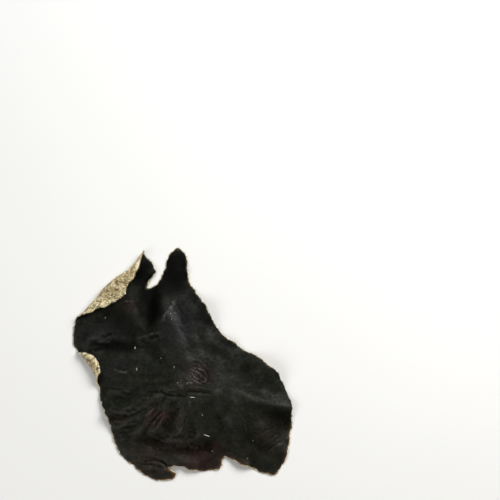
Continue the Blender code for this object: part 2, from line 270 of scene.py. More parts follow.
def markSides(piece, settings):
    # felt: 0 on the upper face, 1 on the felt face. rimGap: way along the surface to the rim
    flesh = bmesh.new()
    flesh.from_mesh(piece.data)
    flesh.faces.ensure_lookup_table()
    flesh.verts.ensure_lookup_table()
    tree = BVHTree.FromBMesh(flesh)
    broad = []
    for face in flesh.faces:
        middle = face.calc_center_median()
        behind = middle - face.normal * settings["mergeGap"]
        hit, facing, _, gap = tree.ray_cast(behind, -face.normal)
        thin = hit is not None and gap < settings["flesh"] * mm
        broad.append(thin and facing.dot(face.normal) < settings["facing"])
    centre = Vector(dimple * mm)

    def nearest(up):
        faces = [f for f in flesh.faces if broad[f.index] and f.normal.z * up > 0.7]
        return min(faces, key=lambda f: (f.calc_center_median() - centre).xy.length)

    upper = floodSide(flesh, nearest(1.0), broad, settings["bend"])
    under = floodSide(flesh, nearest(-1.0), broad, settings["bend"])
    both = upper & under
    felt = np.full(len(flesh.verts), 0.5)
    felt[list(upper - both)] = 0.0
    felt[list(under - both)] = 1.0
    unsure = felt == 0.5
    edges = np.array([[v.index for v in e.verts] for e in flesh.edges])
    for _ in range(8):
        felt = np.where(unsure, spread(felt, edges, 1), felt)
    gap = [math.inf] * len(flesh.verts)
    for a, b in edges:
        if abs(felt[a] - felt[b]) > 0.45:
            gap[a] = gap[b] = 0.0
    for i in np.flatnonzero(unsure):
        gap[i] = 0.0
    queue = [(0.0, i) for i, g in enumerate(gap) if g == 0.0]
    heapq.heapify(queue)
    while queue:
        way, i = heapq.heappop(queue)
        if way > gap[i]:
            continue
        for edge in flesh.verts[i].link_edges:
            j = edge.other_vert(flesh.verts[i]).index
            further = way + edge.calc_length() / mm
            if further < gap[j]:
                gap[j] = further
                heapq.heappush(queue, (further, j))
    flesh.free()
    writeAttribute(piece, "felt", felt)
    writeAttribute(piece, "rimGap", gap)
    print("sides marked:", len(upper), "upper points,", len(under), "felt points")


def subdivide(piece, levels):
    smooth = piece.modifiers.new("smooth", "SUBSURF")
    smooth.levels = levels
    smooth.render_levels = levels
    bpy.context.view_layer.objects.active = piece
    bpy.ops.object.modifier_apply(modifier=smooth.name)


# relief of the sheet

relief = {
    "dents": 0.16,
    "pebbles": 0.085,
    "crinkle": 0.05,
    "fine": 0.035,
    "strands": 0.07,
    "smoothShare": 0.5,  # what is left of the fine relief outside the grainy spots
    "feltCurls": 0.30,
    "feltLumps": 0.10,
    "rimBeads": 0.12,
}

# where the upper face is grainy, as soft spots (x, y, half width, half depth, share)
grainSpots = [
    (-10.0, -4.0, 24.0, 16.0, 1.0),
    (-30.0, -10.0, 14.0, 14.0, 0.9),
    (0.0, 3.0, 9.0, 8.0, 0.9),
    (-5.0, 20.0, 9.0, 12.0, 0.8),
    (26.0, -20.0, 8.0, 10.0, 0.5),
]

# how far the torn rim wanders in and out, as soft spots (x, y, half width, half depth, millimetres)
tornSpots = [
    (-37.0, -8.0, 9.0, 13.0, 0.80),
    (-28.0, 32.0, 22.0, 16.0, 0.85),
    (-11.5, -33.0, 4.0, 4.0, 0.90),
    (-22.0, -33.0, 10.0, 8.0, 0.25),
    (0.0, -34.0, 14.0, 4.0, 0.25),
    (28.0, -32.0, 14.0, 8.0, 0.18),
    (15.0, 15.0, 30.0, 30.0, 0.22),
    (-8.0, 50.0, 8.0, 8.0, 0.20),
]

# where the rim is drawn back, as soft spots (x, y, half width, half depth, millimetres)
drawnBackSpots = [
    (-24.0, 40.0, 6.0, 8.0, 0.5),
]

# where the solid's pleats are eased away, as soft spots (x, y, half width, half depth, share)
easedSpots = [
    (-0.5, -13.8, 8.0, 6.5, 0.85),
    (-9.0, -12.5, 3.0, 4.0, 0.6),
]

# where radial strands show, as soft spots (x, y, half width, half depth, share)
strandSpots = [
    (-13.0, -15.0, 9.0, 8.0, 0.8),
    (-28.0, -12.0, 10.0, 9.0, 0.9),
    (2.0, -15.0, 8.0, 8.0, 0.5),
    (-8.0, 26.0, 8.0, 14.0, 0.5),
    (24.0, -22.0, 12.0, 10.0, 0.6),
    (-36.0, 18.0, 10.0, 7.0, 0.35),
    (12.0, 14.0, 14.0, 10.0, 0.5),
    (-6.0, -28.0, 18.0, 5.0, 0.4),
]

# thin raised or sunk lines as (points, half width, rise)
lines = {
    "arcs round the dimple": {
        "strength": 0.8, "glint": 1.0,
        "paths": [
            ([(-1.7, 4.0), (0.4, 3.7), (2.3, 2.9), (3.5, 1.4), (3.8, -0.4)], 0.28, 0.22),
            ([(-2.0, 2.1), (-1.5, 0.8), (-0.4, 0.0), (0.5, -0.5)], 0.28, 0.24),
            ([(2.1, 0.7), (2.9, 0.0), (3.3, -0.6), (3.1, -1.3), (2.4, -1.6), (1.8, -1.3)], 0.28, 0.32),
            ([(-2.5, 3.3), (-0.6, 2.6), (1.1, 1.6), (1.8, 0.4)], 0.28, 0.20),
            ([(-2.8, 0.9), (-1.7, -0.6), (0.1, -1.7), (1.6, -2.1)], 0.28, 0.20),
            ([(4.0, -2.1), (5.8, -2.6)], 0.30, 0.24),
            ([(-4.3, -2.4), (-2.0, -1.9)], 0.36, 0.22),
        ],
    },
    "faint outer arcs": {
        "strength": 0.6, "glint": 0.2,
        "paths": [
            ([(-1.9, 5.8), (-0.1, 5.1), (1.5, 4.2)], 0.28, 0.16),
            ([(-4.1, 6.7), (-1.6, 7.3), (0.7, 6.7), (3.0, 5.0), (4.6, 2.5)], 0.34, 0.18),
        ],
    },
    "level wrinkles below the dimple": {
        "strength": 0.62, "glint": 0.15,
        "paths": [
            ([(-13.7, -3.7), (-10.9, -4.3)], 0.34, 0.34),
            ([(-10.5, -4.7), (-7.5, -4.6)], 0.34, 0.36),
            ([(-14.7, -4.6), (-11.7, -6.1), (-8.2, -6.9), (-4.6, -7.2)], 0.40, -0.42),
            ([(-14.2, -6.4), (-11.4, -7.4), (-8.0, -8.1)], 0.36, 0.24),
            ([(-4.0, -3.8), (1.3, -3.9), (6.3, -5.0)], 0.34, 0.30),
            ([(-4.8, -5.3), (0.5, -5.3), (5.9, -6.4)], 0.38, -0.36),
            ([(-4.4, -6.4), (1.0, -6.4), (4.8, -7.0)], 0.34, 0.22),
            ([(-21.7, -7.2), (-17.8, -7.8), (-14.0, -7.1)], 0.42, 0.30),
            ([(-19.5, -4.9), (-16.8, -5.3), (-14.8, -5.0)], 0.36, -0.32),
        ],
    },
    "creases of the left shoulder": {
        "strength": 0.95, "glint": 0.65,
        "paths": [
            ([(-23.0, 16.2), (-19.9, 16.6), (-18.0, 17.3), (-15.7, 17.8), (-14.3, 18.1)], 0.42, 0.62),
            ([(-22.5, 14.9), (-18.5, 15.5), (-14.5, 16.5)], 0.65, -0.36),
            ([(-30.0, 30.8), (-27.2, 31.0), (-24.5, 30.8)], 0.42, 0.36),
            ([(-39.3, 14.3), (-37.0, 14.9), (-34.3, 14.9)], 0.45, 0.40),
            ([(-38.0, 16.0), (-35.0, 17.2), (-31.5, 18.0)], 0.7, -0.45),
            ([(-43.6, 10.6), (-38.2, 12.1), (-31.2, 14.0)], 0.9, -0.5),
            ([(-14.2, 21.9), (-12.7, 24.5), (-10.4, 27.5), (-9.1, 31.8)], 0.8, 0.36),
            ([(-32.4, 4.2), (-29.6, 2.9), (-26.9, 3.2)], 0.5, 0.25),
        ],
    },
    "wrinkles at the left": {
        "strength": 0.62, "glint": 0.1,
        "paths": [
            ([(-35.2, -3.3), (-32.5, -3.7), (-28.8, -3.8)], 0.45, -0.42),
            ([(-29.7, -4.7), (-26.0, -5.6)], 0.45, -0.42),
            ([(-34.6, -5.0), (-31.4, -5.6), (-27.6, -6.6)], 0.5, 0.26),
            ([(-34.1, -11.9), (-28.7, -13.3), (-23.9, -12.5), (-19.7, -10.6)], 0.6, 0.42),
            ([(-29.4, -15.0), (-23.7, -13.7), (-19.1, -11.5)], 0.5, -0.45),
            ([(-32.2, -16.1), (-30.6, -16.3), (-28.9, -16.5)], 0.42, 0.50),
            ([(-28.9, -16.7), (-23.7, -15.5), (-21.2, -14.9)], 0.5, 0.32),
            ([(-28.6, -19.3), (-22.7, -17.8)], 0.5, -0.42),
            ([(-27.4, -21.4), (-23.2, -20.6)], 0.5, 0.26),
        ],
    },
    "pleats of the fan": {
        "strength": 0.5, "glint": 0.45,
        "paths": [
            ([(-16.2, -11.4), (-17.9, -13.1), (-19.6, -14.9)], 0.38, 0.30),
            ([(-15.3, -12.0), (-17.2, -13.8), (-19.0, -15.6)], 0.34, -0.22),
            ([(-14.5, -12.5), (-16.6, -14.5), (-18.1, -16.0), (-19.0, -17.9)], 0.38, 0.36),
            ([(-13.6, -12.8), (-15.7, -14.8), (-17.3, -16.7), (-18.2, -18.5)], 0.34, -0.28),
            ([(-12.6, -13.0), (-14.9, -15.0), (-16.4, -17.3), (-17.3, -19.0)], 0.38, 0.38),
            ([(-12.0, -13.5), (-13.9, -15.4), (-15.4, -17.6), (-16.3, -19.2)], 0.34, -0.28),
            ([(-11.3, -13.9), (-12.9, -15.8), (-14.4, -17.9), (-15.3, -19.4)], 0.38, 0.34),
            ([(-10.5, -15.3), (-11.8, -17.1), (-12.9, -19.0)], 0.38, -0.30),
            ([(-9.2, -9.4), (-10.1, -12.7)], 0.5, -0.46),
            ([(-3.7, -13.2), (-3.9, -15.5), (-4.7, -17.7)], 0.5, -0.42),
            ([(-7.9, -18.2), (-6.2, -20.3)], 0.42, 0.40),
            ([(-5.2, -18.1), (-6.2, -20.3)], 0.42, 0.34),
            ([(-8.8, -9.2), (-8.5, -11.5)], 0.55, -0.40),
            ([(-2.6, -9.0), (-2.4, -12.0)], 0.60, 0.34),
        ],
    },
    "ledge and terrace": {
        "strength": 0.9, "glint": 0.0,
        "paths": [
            ([(-13.9, -21.0), (-10.4, -22.2), (-6.0, -22.6), (-1.8, -21.7), (2.4, -20.2)], 1.2, -0.40),
            ([(-9.0, -25.7), (-3.0, -25.8), (3.5, -25.4)], 1.8, 0.60),
            ([(-20.1, -31.2), (-15.5, -31.0), (-12.0, -32.3), (-11.2, -34.6)], 0.4, -0.5),
            ([(-21.6, -32.4), (-17.4, -32.4), (-13.2, -33.5)], 0.4, -0.4),
            ([(-19.7, -34.0), (-15.1, -34.0)], 0.7, 0.4),
            ([(-18.5, -21.4), (-15.0, -22.7), (-11.5, -24.0)], 0.5, 0.30),
            ([(-20.8, -29.7), (-16.9, -30.1), (-13.5, -30.7), (-12.2, -32.4)], 0.5, -0.36),
            ([(-21.9, -32.4), (-17.3, -33.5)], 0.5, 0.34),
            ([(2.7, -26.6), (5.8, -27.7)], 0.9, -0.3),
        ],
    },
    "creases of the right corner": {
        "strength": 0.6, "glint": 0.0,
        "paths": [
            ([(24.5, -25.3), (28.0, -23.4), (31.5, -21.1)], 0.42, 0.30),
            ([(25.7, -27.7), (28.7, -25.5), (32.2, -23.5)], 0.42, -0.30),
            ([(23.4, -22.0), (26.4, -19.8), (30.3, -17.6)], 0.42, -0.30),
            ([(17.9, -16.2), (18.7, -18.9), (19.0, -21.2)], 0.7, 0.40),
        ],
    },
}


def gapToLine(x, y, points):
    # distance in plan to a line of points, and how far along it, from 0 to 1
    gap = np.full(len(x), 1e9)
    along = np.zeros(len(x))
    for k, ((x0, y0), (x1, y1)) in enumerate(zip(points, points[1:])):
        ex, ey = x1 - x0, y1 - y0
        t = np.clip(((x - x0) * ex + (y - y0) * ey) / (ex * ex + ey * ey), 0.0, 1.0)
        here = np.hypot(x - x0 - t * ex, y - y0 - t * ey)
        closer = here < gap
        gap = np.where(closer, here, gap)
        along = np.where(closer, (k + t) / (len(points) - 1), along)
    return gap, along


def smoothLine(points, steps=6):
    # a smooth line through the points
    pts = np.array([points[0], *points, points[-1]], float)
    made = []
    for i in range(1, len(pts) - 2):
        a, b, c, d = pts[i - 1 : i + 3]
        for t in np.linspace(0.0, 1.0, steps, endpoint=False):
            curve = 2 * b + (c - a) * t + (2 * a - 5 * b + 4 * c - d) * t * t
            made.append(0.5 * (curve + (3 * b - a - 3 * c + d) * t**3))
    return [tuple(p) for p in made] + [tuple(pts[-1])]


def spotShare(x, y, spots, wander=0.0):
    # the strongest of several soft spots at each place
    share = np.zeros(len(x))
    for cx, cy, wide, deep, strength in spots:
        reach = ((x - cx) / wide) ** 2 + ((y - cy) / deep) ** 2
        share = np.maximum(share, strength * np.exp(-reach * (1.0 + wander)))
    return share


def wayOut(points, rimGap, edges):
    # unit directions along the surface towards the nearest rim
    run = points[edges[:, 1]] - points[edges[:, 0]]
    drop = rimGap[edges[:, 0]] - rimGap[edges[:, 1]]
    pull = run * (drop / np.maximum((run**2).sum(1), 1e-9))[:, None]
    out = np.zeros_like(points)
    np.add.at(out, edges[:, 0], pull)
    np.add.at(out, edges[:, 1], pull)
    out = np.column_stack([spread(out[:, k], edges, 6) for k in range(3)])
    return out / np.maximum(np.linalg.norm(out, axis=1), 1e-9)[:, None]


def tearRim(piece):
    # the rim wanders in and out in small uneven bites
    points = pointsOf(piece)
    local = points - dimple
    rimGap = np.maximum(readAttribute(piece, "rimGap"), 0.0)
    out = wayOut(points, rimGap, edgesOf(piece))
    bites = 1.1 * noiseAt(local, 2.3, 61.0) + 0.7 * noiseAt(local, 1.3, 67.0) - 0.10
    move = bites * spotShare(local[:, 0], local[:, 1], tornSpots)
    move -= spotShare(local[:, 0], local[:, 1], drawnBackSpots)
    nearRim = np.exp(-((rimGap / 1.8) ** 2))
    movePoints(piece, points + out * (move * nearRim)[:, None])


def easePleats(piece, rounds=70):
    points = pointsOf(piece)
    share = spotShare(*(points - dimple)[:, :2].T, easedSpots)
    near = np.flatnonzero(share > 0.02)
    inside = np.zeros(len(points), bool)
    inside[near] = True
    edges = edgesOf(piece)
    edges = edges[inside[edges].all(axis=1)]
    order = np.cumsum(inside) - 1
    eased = np.column_stack([spread(points[near, k], order[edges], rounds) for k in range(3)])
    points[near] += share[near, None] * (eased - points[near])
    movePoints(piece, points)


def feltCurls(points):
    # 1 along the matted curls of the felt and 0 in the gaps between them
    bent = points + 0.9 * np.column_stack([noiseAt(points, 1.9, s) for s in (101.0, 121.0, 141.0)])
    wide = 1.0 - 2.6 * np.abs(noiseAt(bent, 2.1, 110.0))
    narrow = 1.0 - 2.6 * np.abs(noiseAt(bent, 1.2, 130.0))
    return np.clip(np.maximum(wide, 0.8 * narrow), 0.0, 1.0)


def roughenSheet(piece, settings):
    points = pointsOf(piece)
    normals = normalsOf(piece)
    edges = edgesOf(piece)
    felt = np.clip(readAttribute(piece, "felt"), 0.0, 1.0)
    rimGap = np.maximum(readAttribute(piece, "rimGap"), 0.0)
    local = points - dimple
    x, y = local[:, 0], local[:, 1]
    r, a = np.hypot(x, y), np.arctan2(y, x)
    warp = noiseAt(local, 6.0, 3.0)
    bent = local + 0.8 * np.column_stack([noiseAt(local, 2.6, s) for s in (1.0, 21.0, 41.0)])

    strandPlace = np.column_stack([13.0 * np.cos(a), 13.0 * np.sin(a), (r + 2.0 * warp) / 5.0])
    strands = 0.6 - 2.4 * np.abs(noiseAt(strandPlace, 1.0, 5.0))
    strandShare = smoothStep(5.0, 11.0, r) * spotShare(x, y, strandSpots)
    dents = noiseAt(bent, 4.6, 11.0)
    flat = bent * np.array([0.75, 1.2, 1.0])
    pebbles = 0.8 * noiseAt(flat, 1.4, 2.0) + 0.6 * noiseAt(local, 2.6, 29.0)
    crinkle = (0.4 - 1.9 * np.abs(noiseAt(flat, 2.0, 33.0))) * (1.0 - 0.6 * strandShare)
    fine = noiseAt(flat, 0.8, 6.0)
    grainy = settings["smoothShare"] + (1.0 - settings["smoothShare"]) * spotShare(x, y, grainSpots)

    raised = np.zeros(len(x))
    glint = np.zeros(len(x))
    broken = smoothStep(-0.35, 0.15, noiseAt(local, 1.6, 71.0))
    for group in lines.values():
        for line, halfWidth, rise in group["paths"]:
            gap, along = gapToLine(x + 0.35 * warp, y - 0.3 * warp, smoothLine(line))
            ends = np.sin(math.pi * np.clip(along, 0.02, 0.98)) ** 0.6
            ridge = np.exp(-((gap / halfWidth) ** 2)) * ends
            raised += group["strength"] * rise * ridge * (0.45 + 0.55 * broken)
            if rise > 0.0:
                glint = np.maximum(glint, group["glint"] * ridge * (0.3 + 0.7 * broken))

    upperShare = 1.0 - smoothStep(0.2, 0.6, felt)
    feltShare = smoothStep(0.4, 0.8, felt)
    inside = smoothStep(0.0, 2.2, rimGap)
    smallRelief = (
        settings["pebbles"] * pebbles
        + settings["crinkle"] * crinkle
        + settings["fine"] * fine
        + settings["strands"] * strands * strandShare
    )
    upperMove = (settings["dents"] * dents + grainy * smallRelief) * (0.3 + 0.7 * inside) + raised
    curls = feltCurls(local)
    lumps = noiseAt(local, 0.9, 14.0)
    feltMove = settings["feltCurls"] * (curls - 0.6) + settings["feltLumps"] * (lumps - 0.4)
    atRim = np.exp(-rimGap / 0.7)
    beads = noiseAt(local, 1.1, 19.0)
    move = upperShare * upperMove + feltShare * feltMove
    move += atRim * settings["rimBeads"] * (beads - 0.5)
    points = points + normals * move[:, None]
    points[:, 2] = np.maximum(points[:, 2], 0.0)
    movePoints(piece, points)

    # hollow is above 0.5 in grooves and below it on ridges
    normals = normalsOf(piece)
    for name, rounds, scale in (("hollowFine", 3, 8.0), ("hollowBroad", 24, 2.2)):
        smoothed = np.column_stack([spread(points[:, k], edges, rounds) for k in range(3)])
        height = ((smoothed - points) * normals).sum(1)
        writeAttribute(piece, name, np.clip(0.5 + scale * height, 0.0, 1.0))
        print(name, "spread", round(float((scale * height)[upperShare > 0.5].std()), 3))
    writeAttribute(piece, "curls", curls)
    writeAttribute(piece, "glint", glint * upperShare)
    print("sheet roughened:", len(points), "points")


# colours of the upper face and painted shade on it, as soft spots (x, y, half width, half depth, share)

tintsAndPaintedShade = {
    "purple": [
        (0.4, -30.0, 7.5, 4.2, 1.0),
        (-27.2, 28.6, 3.6, 3.4, 0.6),
        (1.6, 1.6, 5.0, 4.4, 0.6),
        (-14.5, -15.0, 4.6, 3.8, 0.75),
        (-30.2, -15.2, 4.2, 1.8, 0.4),
    ],
    "brown": [
        (-5.0, -26.5, 18.0, 5.0, 0.9),
        (-18.0, -29.0, 9.0, 7.0, 1.0),
        (-17.0, -36.0, 8.0, 5.0, 1.0),
        (-7.6, -15.6, 3.4, 3.4, 0.8),
        (28.0, -22.0, 8.0, 9.0, 0.6),
        (14.0, -31.0, 9.0, 4.0, 0.5),
        (-4.0, 3.0, 7.0, 6.0, 0.2),
    ],
    # a bluish tint; on the neck it is also lighter and stands in part for a bluish sheen, so it is partly
    # painted sheen; it also adds real coat gloss
    "blue": [
        (-6.5, 21.0, 6.5, 9.0, 1.0),
        (-38.0, 17.5, 7.0, 6.0, 0.6),
        (-31.0, 5.5, 5.0, 4.0, 0.45),
    ],
    # painted shade: spots where the upper face is painted near black and made less glossy, standing in for
    # shadow on the neck, in the valley and along the right side
    "dim": [
        (-19.0, 30.0, 6.2, 12.0, 1.0),
        (-22.0, 42.5, 7.0, 6.0, 1.0),
        (-9.0, 43.0, 9.0, 11.0, 1.0),
        (-2.0, 33.0, 5.0, 5.0, 0.6),
        (-32.0, 13.2, 8.0, 2.2, 0.9),
        (-30.0, 23.0, 9.0, 7.0, 0.6),
        (-38.6, -0.5, 1.8, 2.6, 0.8),
        (14.0, 2.0, 16.0, 7.0, 0.35),
        (3.0, 24.0, 7.0, 9.0, 0.55),
        (10.0, 14.0, 8.0, 7.0, 0.45),
        (-2.0, 25.0, 5.0, 8.0, 0.4),
        (24.0, -9.5, 7.0, 3.5, 0.5),
        (33.0, -13.5, 8.0, 3.5, 0.65),
        (-24.0, 25.0, 6.0, 7.0, 0.55),
    ],
}


def paintTintsAndShade(piece):
    points = pointsOf(piece) - dimple
    wander = noiseAt(points, 5.0, 30.0)
    for name, spots in tintsAndPaintedShade.items():
        writeAttribute(piece, name, spotShare(points[:, 0], points[:, 1], spots, wander))


def upperSkin():
    finish = Finish("dried upper skin", Specular_IOR_Level=0.035, Coat_Roughness=0.42, Coat_IOR=1.42)
    broad = finish.grain(9.0, 2.0)
    middle = finish.grain(2.2, 4.0, 0.62, 0.5)
    small = finish.grain(0.55, 3.0, 0.6)
    hollowFine = finish.attribute("hollowFine")
    hollowBroad = finish.attribute("hollowBroad")
    # painted shade spots, which darken the colour below and take gloss from the coat
    dim = finish.between(finish.attribute("dim"), 0.0, 0.85)
    blue = finish.attribute("blue")
    purple = finish.attribute("purple") * finish.between(middle, 0.2, 0.6)
    colour = finish.mix(finish.between(broad, 0.35, 0.65), (0.0062, 0.0071, 0.0044), (0.0084, 0.0092, 0.0060))
    brown = finish.attribute("brown") * finish.between(middle, 0.2, 0.6)
    colour = finish.mix(brown, colour, (0.0140, 0.0096, 0.0070))
    colour = finish.mix(purple, colour, (0.0180, 0.0066, 0.0068))
    # bluish tint, on the neck partly a painted sheen
    colour = finish.mix(blue * 0.8, colour, (0.0095, 0.0098, 0.0122))
    # a lighter and a darker copy of the colour; the darker copy is painted shade
    lighter = finish.mix(1.0, colour, (1.9, 1.9, 1.85), "MULTIPLY")
    hollowShadeColour = finish.mix(1.0, colour, (0.45, 0.45, 0.45), "MULTIPLY")
    colour = finish.mix(finish.between(middle, 0.35, 0.75) * 0.5, colour, lighter)
    # painted highlight on the ridges and painted shade in the grooves and broad hollows, from the relief
    colour = finish.mix(finish.between(hollowFine, 0.50, 0.15) * 0.5, colour, lighter)
    colour = finish.mix(finish.between(hollowFine, 0.50, 0.95) * 0.6, colour, hollowShadeColour)
    colour = finish.mix(finish.between(hollowBroad, 0.50, 0.90) * 0.45, colour, hollowShadeColour)
    # painted shade: the colour goes near black in the shade spots
    colour = finish.mix(dim * 0.9, colour, (0.0014, 0.0015, 0.0011))
    scurf = finish.between(finish.grain(0.62, 2.0, 0.6, 0.8), 0.60, 0.74) * finish.between(middle, 0.40, 0.62)
    colour = finish.mix(scurf * (1.0 - 0.7 * dim) * 0.55, colour, (0.062, 0.062, 0.052))
    speck = finish.between(finish.grain(0.42, 1.0), 0.74, 0.79)
    colour = finish.mix(speck * 0.4, colour, (0.080, 0.076, 0.062))
    glint = finish.attribute("glint") * finish.between(small, 0.42, 0.58)
    colour = finish.mix(glint * 0.6, colour, (0.17, 0.15, 0.145))
    atRim = finish.between(finish.attribute("rimGap"), 0.6, 0.05)
    pale = finish.attribute("pale")
    amber = finish.attribute("amber")
    # the orange rim colour is partly painted light shining through the thin rim
    rimColour = finish.mix(amber, (0.16, 0.14, 0.095), (0.15, 0.062, 0.018))
    shown = finish.between(middle, 0.38, 0.6) * (0.2 + 0.5 * pale + 0.4 * amber)
    colour = finish.mix(atRim * shown, colour, rimColour)
    finish.set(Base_Color=colour, Roughness=0.62)
    gloss = (1.0 - 0.92 * dim) * (1.0 - 0.5 * purple) * finish.between(hollowFine, 1.0, 0.1)
    sparkle = finish.between(small, 0.30, 0.72)
    finish.set(Coat_Weight=gloss * (0.05 + 0.32 * middle + 0.24 * sparkle + 0.18 * blue))
    grainHeight = small * 0.6 + finish.grain(0.25, 2.0) * 0.4
    finish.set(Normal=finish.bump(grainHeight, 0.10))
    return finish.material


def feltBase():
    finish = Finish("matted felt", Specular_IOR_Level=0.15, Sheen_Weight=0.25, Sheen_Roughness=0.6)
    clumps = finish.grain(1.1, 4.0, 0.65, 0.5)
    curls = finish.between(finish.attribute("curls"), 0.15, 0.85)
    # the gaps between the curls are painted dark brown: painted shade between the curls
    colour = finish.mix(curls, (0.115, 0.070, 0.026), (0.36, 0.28, 0.145))
    colour = finish.mix(finish.between(clumps, 0.50, 0.62) * 0.5, colour, (0.14, 0.085, 0.036))
    atRim = finish.between(finish.attribute("rimGap"), 1.4, 0.2)
    colour = finish.mix(atRim * 0.7, colour, (0.52, 0.42, 0.27))
    stub = finish.attribute("stub")
    colour = finish.mix(stub, colour, (0.13, 0.072, 0.038))
    finish.set(Base_Color=colour, Roughness=0.93)
    finish.set(Normal=finish.bump(finish.grain(0.22, 3.0), 0.16))
    return finish.material


def tornRim():
    finish = Finish("torn rim", Specular_IOR_Level=0.2)
    beads = finish.grain(1.3, 3.0, 0.6)
    amber = finish.attribute("amber")
    bright = finish.mix(finish.attribute("pale"), (0.055, 0.046, 0.026), (0.42, 0.37, 0.25))
    pale = finish.mix(finish.between(beads, 0.46, 0.60), (0.026, 0.022, 0.014), bright)
    # orange along the lowest rim: partly painted light shining through the thin flesh
    orange = finish.mix(finish.between(beads, 0.40, 0.62), (0.045, 0.018, 0.006), (0.26, 0.105, 0.026))
    finish.set(Base_Color=finish.mix(amber, pale, orange), Roughness=0.7)
    finish.set(Normal=finish.bump(beads, 0.15))
    return finish.material


# where the rim is bare and pale, as soft spots (x, y, half width, half depth, share)
paleRimSpots = [
    (-2.0, 35.0, 6.0, 8.0, 0.9),
    (10.0, 20.0, 8.0, 10.0, 0.4),
    (-30.0, 31.0, 20.0, 15.0, 1.0),
    (-39.0, -2.0, 4.0, 8.0, 0.9),
    (38.0, -22.0, 5.0, 10.0, 0.5),
]


def amberShare(points):
    # the rim is painted orange along the lowest edge: partly the thin flesh's own colour, partly painted
    # light shining through it
    return smoothStep(-27.0, -31.0, points[:, 1] - 0.35 * np.maximum(points[:, 0], 0.0))


def paleShare(points):
    return spotShare(points[:, 0], points[:, 1], paleRimSpots)


def paintSheet(piece):
    # the faces take the skin, the felt or the rim by their share of felt
    points = pointsOf(piece) - dimple
    felt = readAttribute(piece, "felt")
    stub = np.exp(-((np.hypot(points[:, 0], points[:, 1]) / 2.7) ** 6)) * (felt > 0.5)
    writeAttribute(piece, "stub", stub)
    writeAttribute(piece, "amber", amberShare(points))
    writeAttribute(piece, "pale", paleShare(points))
    for material in (upperSkin(), feltBase(), tornRim()):
        piece.data.materials.append(material)
    corners = np.empty(len(piece.data.loops), np.int32)
    piece.data.loops.foreach_get("vertex_index", corners)
    share = felt[corners.reshape(-1, 4)].mean(1)
    kind = np.where(share < 0.3, 0, np.where(share > 0.72, 1, 2))
    piece.data.polygons.foreach_set("material_index", kind.astype(np.int32))
    print("sheet painted:", [int((kind == k).sum()) for k in range(3)], "faces of skin, felt and rim")


# felt: fine hairs over curly tufts, all lying matted on the felt face, and a short fringe at the rim

feltSeed = 11
tufts = {
    "felt_seen_hairs": {
        "side": "seen", "count": 7000, "points": 5, "sides": 3,
        "length": (0.7, 2.0), "radius": (0.05, 0.09), "lift": 0.26, "tone": 0.24, "uneven": 0.20,
    },
    "felt_seen_curls": {
        "side": "seen", "count": 1900, "points": 7, "sides": 4,
        "length": (1.2, 3.0), "radius": (0.11, 0.21), "lift": 0.16, "tone": 0.24, "uneven": 0.24,
    },
    "felt_seen_beads": {
        "side": "edge", "count": 1300, "points": 7, "sides": 4,
        "length": (0.5, 1.2), "radius": (0.16, 0.28), "lift": 0.10, "tone": 0.40, "uneven": 0.32,
    },
    "felt_under_hairs": {
        "side": "under", "count": 10600, "points": 5, "sides": 3,
        "length": (1.2, 3.0), "radius": (0.07, 0.13), "lift": 0.20, "tone": 0.20, "uneven": 0.16,
    },
    "felt_under_curls": {
        "side": "under", "count": 4400, "points": 7, "sides": 4,
        "length": (1.8, 4.0), "radius": (0.13, 0.24), "lift": 0.14, "tone": 0.20, "uneven": 0.18,
    },
    "rim_fringe": {
        "side": "rim", "count": 5200, "points": 5, "sides": 3,
        "length": (0.2, 0.75), "radius": (0.035, 0.070), "tone": 0.06, "uneven": 0.10,
    },
}


def feltFaces(piece):
    # the felt faces' middles, normals, areas and attributes, and a tree of them
    mesh = piece.data
    points = pointsOf(piece)
    corners = np.empty(len(mesh.loops), np.int32)
    mesh.loops.foreach_get("vertex_index", corners)
    corners = corners.reshape(-1, 4)
    felt = readAttribute(piece, "felt")
    share = felt[corners].mean(1)
    faces = {}
    for name, chosen in (("felt", share > 0.55), ("rim", (share > 0.35) & (share < 0.75))):
        own = corners[chosen]
        across = np.cross(points[own[:, 2]] - points[own[:, 0]], points[own[:, 3]] - points[own[:, 1]])
        areas = 0.5 * np.linalg.norm(across, axis=1)
        faces[name] = {
            "corners": own,
            "middles": points[own].mean(1),
            "areas": areas,
            "normals": across / np.maximum(2.0 * areas, 1e-9)[:, None],
        }
        for layer in ("rimGap", "stub", "curls"):
            faces[name][layer] = readAttribute(piece, layer)[own].mean(1)
    faces["felt"]["tree"] = BVHTree.FromPolygons(points.tolist(), faces["felt"]["corners"].tolist())
    return faces


def growTufts(roots, heads, felt, kind, rng):
    # paths of curly tufts that creep over the felt: their points, normals, radii and share of curl
    count, steps = len(roots), kind["points"]
    paths = np.zeros((count, steps, 3))
    ups = np.zeros((count, steps, 3))
    curl = np.zeros((count, steps))
    lengths = rng.uniform(*kind["length"], count)
    turns = rng.normal(0.0, 0.55, count)
    lifts = kind["lift"] * rng.random(count) ** 2
    for i in range(count):
        place = Vector(roots[i])
        way = Vector(heads[i])
        turn = turns[i]
        stride = lengths[i] / (steps - 1)
        for k in range(steps):
            place, up, face, _ = felt["tree"].find_nearest(place)
            way = way - up * way.dot(up)
            way.normalize()
            side = up.cross(way)
            paths[i, k] = place
            ups[i, k] = up
            curl[i, k] = felt["curls"][face]
            way = way * math.cos(turn) + side * math.sin(turn)
            turn += rng.normal(0.0, 0.35)
            place = place + way * stride
    along = np.linspace(0.0, 1.0, steps)
    taper = np.sin(math.pi * (0.05 + 0.88 * along[None])) ** 0.8
    radii = rng.uniform(*kind["radius"], count)[:, None] * taper
    rise = 0.35 * radii + lifts[:, None] * np.sin(math.pi * along[None])
    return paths + ups * rise[:, :, None], ups, radii, curl


